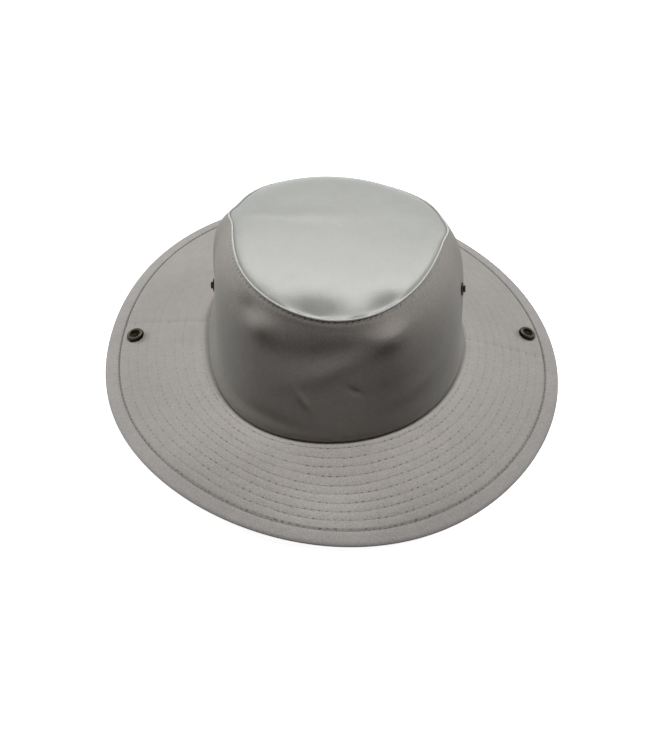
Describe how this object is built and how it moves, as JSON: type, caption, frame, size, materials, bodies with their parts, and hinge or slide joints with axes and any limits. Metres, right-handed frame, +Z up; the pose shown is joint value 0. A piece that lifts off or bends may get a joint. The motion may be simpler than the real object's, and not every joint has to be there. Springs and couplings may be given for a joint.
{
  "type": "wide-brim bush hat",
  "caption": "Cotton bush hat with a wide quilted brim, a tapering crown with a welted flat tip, and brim sides that snap up.",
  "frame": {"origin": "centre of the brim's outline, on the surface that the brim rests on", "axes": "+Z up, -Y towards the front of the hat, +X towards the right of a viewer who faces the front"},
  "size_m": [0.304, 0.335, 0.1112],
  "materials": {
    "cotton_brim": "stone cotton drill, quilted with rows of stitches",
    "cotton_edge": "stone cotton drill, turned and stitched down",
    "cotton_crown": "stone cotton drill with a faint sheen",
    "cotton_tip": "stone cotton drill with a faint sheen",
    "antique_brass": "darkened antique brass"
  },
  "bodies": {
    "root": {"crown_tip": "cotton_tip", "crown_wall": "cotton_crown", "tip_welt": "cotton_tip", "brim_front": "cotton_brim", "brim_back": "cotton_brim", "brim_edge_band": "cotton_edge", "snap_socket_left": "antique_brass", "snap_socket_right": "antique_brass", "snap_cap_left": "antique_brass", "snap_cap_right": "antique_brass", "crown_stud_left": "antique_brass", "crown_stud_right": "antique_brass", "stud_cap_left": "antique_brass", "stud_cap_right": "antique_brass"}
  },
  "joints": []
}
